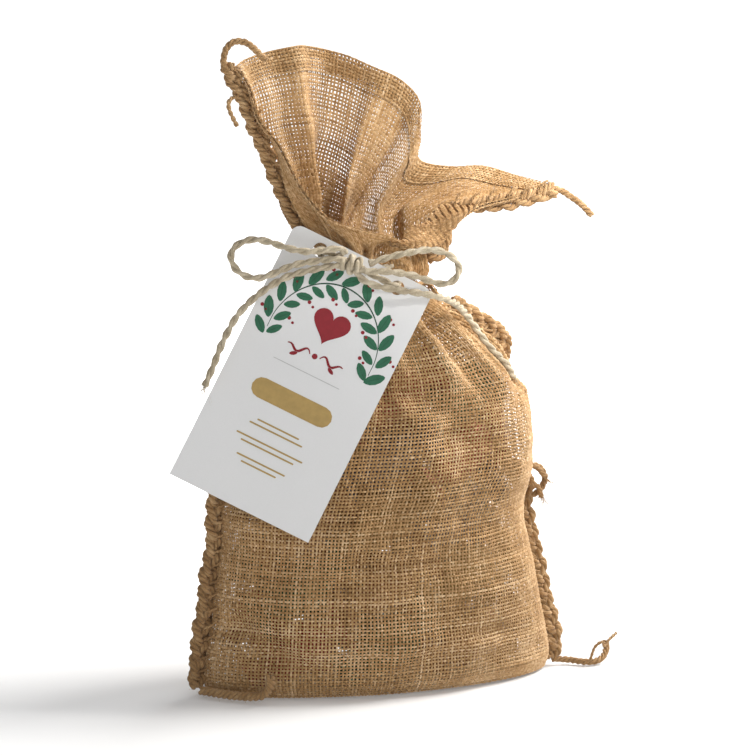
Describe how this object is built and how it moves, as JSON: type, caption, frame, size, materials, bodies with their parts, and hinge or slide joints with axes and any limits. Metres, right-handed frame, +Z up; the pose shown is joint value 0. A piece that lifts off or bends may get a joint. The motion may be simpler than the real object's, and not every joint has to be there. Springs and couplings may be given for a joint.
{
  "type": "gift sack",
  "caption": "Filled open-weave jute gift sack, gathered and tied at the neck with twine, with a fanned hemmed mouth, stitched side seams and a card tag that swings under a bow.",
  "frame": {"origin": "on the floor, under the middle of the sack's flat base", "axes": "+Z up, the sack's front towards -Y, its width along X"},
  "size_m": [0.2014, 0.0853, 0.2737],
  "materials": {
    "jute_fabric": "open plain weave of natural jute yarn",
    "jute_seam_yarn": "thick overlocked jute yarn",
    "jute_twine": "two-ply jute twine, slightly hairy",
    "white_card": "smooth uncoated card",
    "wrapper_1": "red metallised film",
    "wrapper_2": "gold metallised film",
    "wrapper_3": "green metallised film",
    "wrapper_4": "blue metallised film",
    "wrapper_5": "orange metallised film"
  },
  "bodies": {
    "sack": {"front_panel": "jute_fabric", "back_panel": "jute_fabric", "base_panel": "jute_fabric", "neck_gather": "jute_fabric", "frill_front": "jute_fabric", "frill_back": "jute_fabric", "hem_back": "jute_fabric", "seam_left_lower": "jute_seam_yarn", "seam_left_upper": "jute_seam_yarn", "seam_right_lower": "jute_seam_yarn", "seam_right_upper": "jute_seam_yarn", "seam_splice_loop": "jute_seam_yarn", "tail_mouth_left": "jute_seam_yarn", "tail_mouth_right": "jute_seam_yarn", "tail_base_left": "jute_seam_yarn", "tail_base_right": "jute_seam_yarn", "twine_neck_turns": "jute_twine", "twine_lead_left": "jute_twine", "twine_lead_right": "jute_twine", "bow_knot": "jute_twine", "bow_loop_right": "jute_twine", "bow_tail_right": "jute_twine", "sweet_front_1_1": "wrapper_1", "sweet_front_1_2": "wrapper_3", "sweet_front_1_3": "wrapper_5", "sweet_front_2_1": "wrapper_3", "sweet_front_2_2": "wrapper_5", "sweet_front_2_3": "wrapper_2", "sweet_front_3_1": "wrapper_5", "sweet_front_3_2": "wrapper_2", "sweet_front_3_3": "wrapper_4", "sweet_front_4_1": "wrapper_2", "sweet_front_4_2": "wrapper_4", "sweet_front_4_3": "wrapper_1", "sweet_front_5_1": "wrapper_4", "sweet_front_5_2": "wrapper_1", "sweet_front_5_3": "wrapper_3", "sweet_back_1_1": "wrapper_1", "sweet_back_1_2": "wrapper_3", "sweet_back_1_3": "wrapper_5", "sweet_back_2_1": "wrapper_3", "sweet_back_2_2": "wrapper_5", "sweet_back_2_3": "wrapper_2", "sweet_back_3_1": "wrapper_5", "sweet_back_3_2": "wrapper_2", "sweet_back_3_3": "wrapper_4", "sweet_back_4_1": "wrapper_2", "sweet_back_4_2": "wrapper_4", "sweet_back_4_3": "wrapper_1", "sweet_back_5_1": "wrapper_4", "sweet_back_5_2": "wrapper_1", "sweet_back_5_3": "wrapper_3"},
    "tag": {"tag_card": "white_card", "bow_strand_left": "jute_twine", "bow_strand_right": "jute_twine", "bow_loop_left": "jute_twine", "bow_tail_left": "jute_twine"}
  },
  "joints": [
    {"name": "tag_swing", "type": "hinge", "parent": "sack", "child": "tag", "pos_m": [-0.01832, -0.02725, 0.18027], "axis": [-0.7908, 0.4419, 0.4234], "range_deg": [0, 70]}
  ]
}
